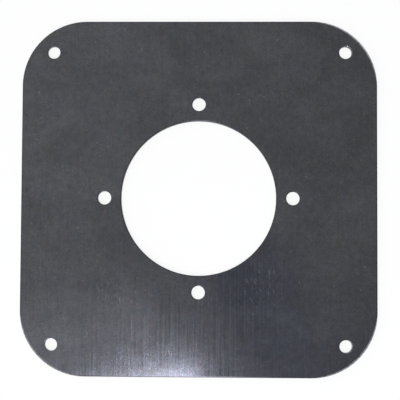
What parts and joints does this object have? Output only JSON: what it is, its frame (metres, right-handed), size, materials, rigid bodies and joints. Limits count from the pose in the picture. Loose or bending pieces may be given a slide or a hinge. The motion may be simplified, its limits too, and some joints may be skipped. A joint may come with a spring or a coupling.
{
  "type": "cover plate",
  "caption": "Flat square steel cover plate with large round corners, a wide central opening, screw holes around the opening and one in each corner.",
  "frame": {"origin": "middle of the back face, which is the face the plate lies on", "axes": "+Z out of the front face, +X and +Y along the straight sides; the fine rolling lines of the sheet run along Y"},
  "size_m": [0.17, 0.17, 0.003],
  "materials": {
    "steel": "bare mill finish, satin, with faint rolling lines and stains"
  },
  "bodies": {
    "root": {"cover_plate": "steel"}
  },
  "joints": []
}
